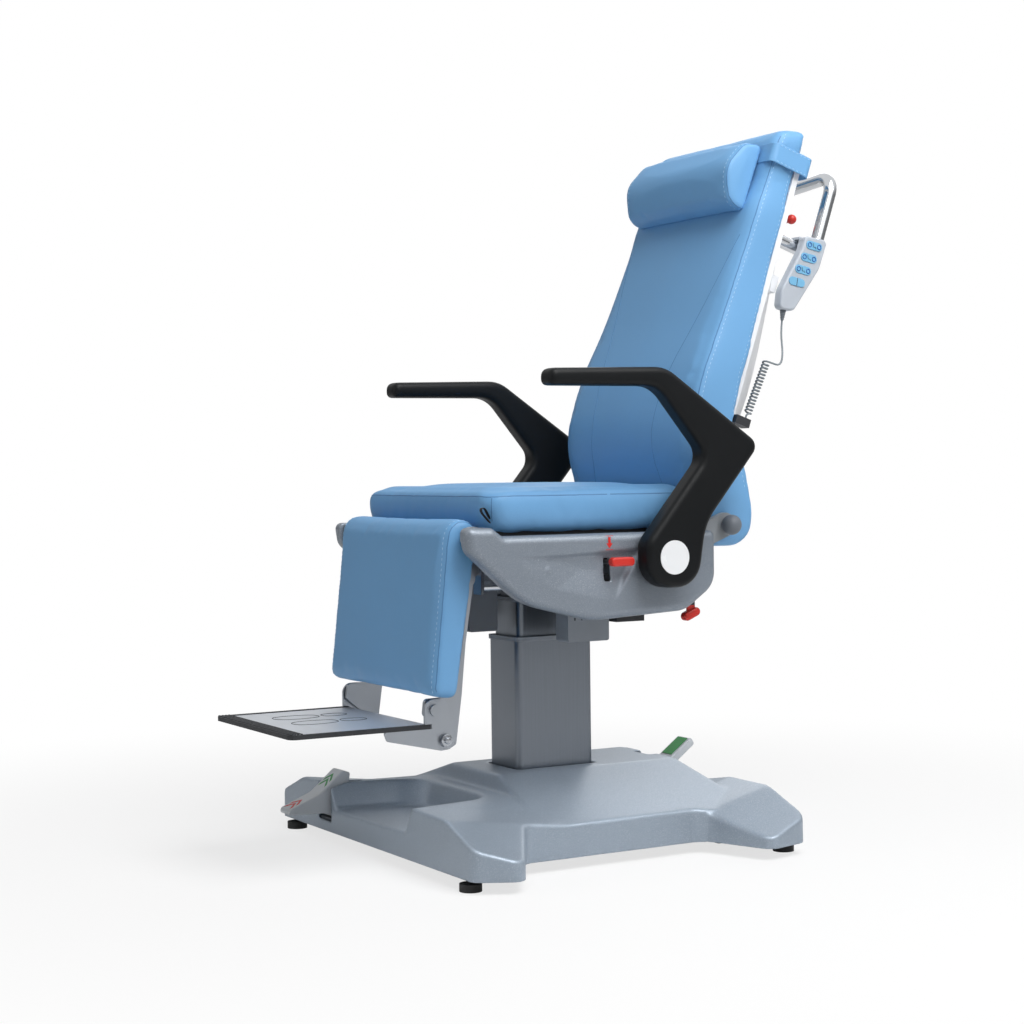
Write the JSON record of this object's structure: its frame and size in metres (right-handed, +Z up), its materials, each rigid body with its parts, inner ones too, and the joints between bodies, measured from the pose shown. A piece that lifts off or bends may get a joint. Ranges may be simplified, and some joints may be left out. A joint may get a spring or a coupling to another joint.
{
  "type": "ear nose and throat treatment chair",
  "caption": "Treatment chair on a lifting column: padded seat, reclining back with head pillow, hinged leg rest, folding foot plate and armrests, levelling base with castor pedals.",
  "frame": {"origin": "on the floor under the middle of the chair, on the column's axis", "axes": "+Z up, the chair faces -Y, +X is the patient's left"},
  "size_m": [0.84, 1.1644, 1.326],
  "materials": {
    "arm_foam": "satin",
    "bright_steel": "polished",
    "column_metal": "satin",
    "cord_jacket": "satin",
    "cover_paint": "satin",
    "dark_plastic": "matte",
    "grey_plastic": "satin",
    "key_blue": "satin",
    "light_plastic": "matte",
    "plywood": "matte",
    "red_plastic": "satin",
    "rubber_black": "matte",
    "sheet_metal": "satin",
    "steel_frame": "satin",
    "strap_web": "matte",
    "vinyl": "satin",
    "white_plastic": "satin"
  },
  "bodies": {
    "base": {"base_cover": "cover_paint", "base_frame": "steel_frame", "levelling_feet": "rubber_black", "column_outer": "column_metal", "column_outer_collar": "light_plastic", "lift_motor": "dark_plastic", "lift_screw": "bright_steel"},
    "front_gear": {"front_pedal": "light_plastic", "front_roller_shaft": "steel_frame"},
    "front_wheels": {"front_rollers": "rubber_black"},
    "rear_gear": {"rear_pedal": "light_plastic", "rear_roller_shaft": "steel_frame"},
    "rear_wheels": {"rear_rollers": "rubber_black"},
    "lift_middle": {"column_middle": "column_metal", "column_middle_collar": "light_plastic"},
    "lift_inner": {"column_inner": "column_metal", "lift_nut": "bright_steel", "swivel_bearing": "bright_steel"},
    "seat": {"seat_frame": "sheet_metal", "seat_board": "plywood", "seat_cushion": "vinyl", "side_cover_left": "cover_paint", "side_cover_right": "cover_paint", "back_actuator": "dark_plastic", "leg_actuator": "dark_plastic", "control_box": "light_plastic", "power_box": "dark_plastic", "back_hinge_pins": "grey_plastic", "leg_hinge_pins": "bright_steel", "arm_pivots": "bright_steel"},
    "back_rod": {"back_actuator_rod": "bright_steel"},
    "leg_rod": {"leg_actuator_rod": "bright_steel"},
    "back": {"back_board": "plywood", "back_frame": "steel_frame", "back_cushion": "vinyl", "back_shell": "white_plastic", "push_handle": "bright_steel", "head_pillow": "vinyl", "pillow_strap": "strap_web", "hand_control": "grey_plastic", "strain_relief": "cord_jacket", "cord_lead": "cord_jacket", "cord_coil": "cord_jacket", "cord_socket": "dark_plastic"},
    "release": {"release_lever": "red_plastic"},
    "leg": {"leg_frame": "sheet_metal", "leg_cushion": "vinyl"},
    "foot": {"foot_plate": "sheet_metal", "foot_edge": "rubber_black", "foot_brackets": "sheet_metal"},
    "arm_left": {"armrest_left": "arm_foam", "arm_disc_left": "white_plastic"},
    "arm_right": {"armrest_right": "arm_foam", "arm_disc_right": "white_plastic"},
    "lever_side": {"side_lever": "red_plastic"},
    "lever_rear": {"rear_lever": "red_plastic"},
    "key_1": {"hand_key_1": "key_blue"},
    "key_2": {"hand_key_2": "key_blue"},
    "key_3": {"hand_key_3": "key_blue"},
    "key_4": {"hand_key_4": "key_blue"}
  },
  "joints": [
    {"name": "front_pedal_press", "type": "hinge", "parent": "base", "child": "front_gear", "pos_m": [0, -0.34, 0.055], "axis": [-1, 0, 0], "range_deg": [0, 15]},
    {"name": "front_wheels_spin", "type": "hinge", "parent": "front_gear", "child": "front_wheels", "pos_m": [0, -0.28, 0.028], "axis": [1, 0, 0], "continuous": true},
    {"name": "rear_pedal_press", "type": "hinge", "parent": "base", "child": "rear_gear", "pos_m": [0, 0.168, 0.055], "axis": [-1, 0, 0], "range_deg": [0, 15]},
    {"name": "rear_wheels_spin", "type": "hinge", "parent": "rear_gear", "child": "rear_wheels", "pos_m": [0, 0.228, 0.028], "axis": [1, 0, 0], "continuous": true},
    {"name": "lift_lower_stage", "type": "slide", "parent": "base", "child": "lift_middle", "axis": [0, 0, 1], "range_m": [-0.02, 0.1]},
    {"name": "lift_upper_stage", "type": "slide", "parent": "lift_middle", "child": "lift_inner", "axis": [0, 0, 1], "range_m": [-0.02, 0.1]},
    {"name": "seat_swivel", "type": "hinge", "parent": "lift_inner", "child": "seat", "pos_m": [0, 0, 0.5], "axis": [0, 0, 1], "range_deg": [-175, 175]},
    {"name": "back_recline", "type": "hinge", "parent": "seat", "child": "back", "pos_m": [0, 0.258, 0.585], "axis": [-1, 0, 0], "range_deg": [0, 66]},
    {"name": "back_actuator_stroke", "type": "slide", "parent": "seat", "child": "back_rod", "axis": [0, -1, 0], "range_m": [0, 0.11764]},
    {"name": "leg_rest_lift", "type": "hinge", "parent": "seat", "child": "leg", "pos_m": [0, -0.268, 0.574], "axis": [-1, 0, 0], "range_deg": [0, 75]},
    {"name": "leg_actuator_stroke", "type": "slide", "parent": "seat", "child": "leg_rod", "axis": [0, -1, 0], "range_m": [0, 0.09131]},
    {"name": "foot_plate_fold", "type": "hinge", "parent": "leg", "child": "foot", "pos_m": [0, -0.312, 0.277], "axis": [-1, 0, 0], "range_deg": [0, 80]},
    {"name": "arm_left_fold", "type": "hinge", "parent": "seat", "child": "arm_left", "pos_m": [0.298, 0.088, 0.533], "axis": [-1, 0, 0], "range_deg": [0, 75]},
    {"name": "arm_right_fold", "type": "hinge", "parent": "seat", "child": "arm_right", "pos_m": [-0.298, 0.088, 0.533], "axis": [-1, 0, 0], "range_deg": [0, 75]},
    {"name": "side_lever_press", "type": "hinge", "parent": "seat", "child": "lever_side", "pos_m": [0.25, -0.14, 0.515], "axis": [-1, 0, 0], "range_deg": [0, 13]},
    {"name": "rear_lever_pull", "type": "hinge", "parent": "seat", "child": "lever_rear", "pos_m": [0.22, 0.185, 0.468], "axis": [-1, 0, 0], "range_deg": [0, 15]},
    {"name": "release_lever_turn", "type": "hinge", "parent": "back", "child": "release", "pos_m": [0.1, 0.46883, 1.17138], "axis": [0, 0.9462, -0.3236], "range_deg": [0, 20]},
    {"name": "key_1_press", "type": "slide", "parent": "back", "child": "key_1", "axis": [-1, 0, 0], "range_m": [0, 0.0008]},
    {"name": "key_2_press", "type": "slide", "parent": "back", "child": "key_2", "axis": [-1, 0, 0], "range_m": [0, 0.0008]},
    {"name": "key_3_press", "type": "slide", "parent": "back", "child": "key_3", "axis": [-1, 0, 0], "range_m": [0, 0.0008]},
    {"name": "key_4_press", "type": "slide", "parent": "back", "child": "key_4", "axis": [-1, 0, 0], "range_m": [0, 0.0008]}
  ],
  "couplings": [
    {"joint": "lift_upper_stage", "follows": "lift_lower_stage", "ratio": 1},
    {"joint": "back_actuator_stroke", "follows": "back_recline", "m_per_rad": 0.10213},
    {"joint": "leg_actuator_stroke", "follows": "leg_rest_lift", "m_per_rad": 0.069755}
  ]
}
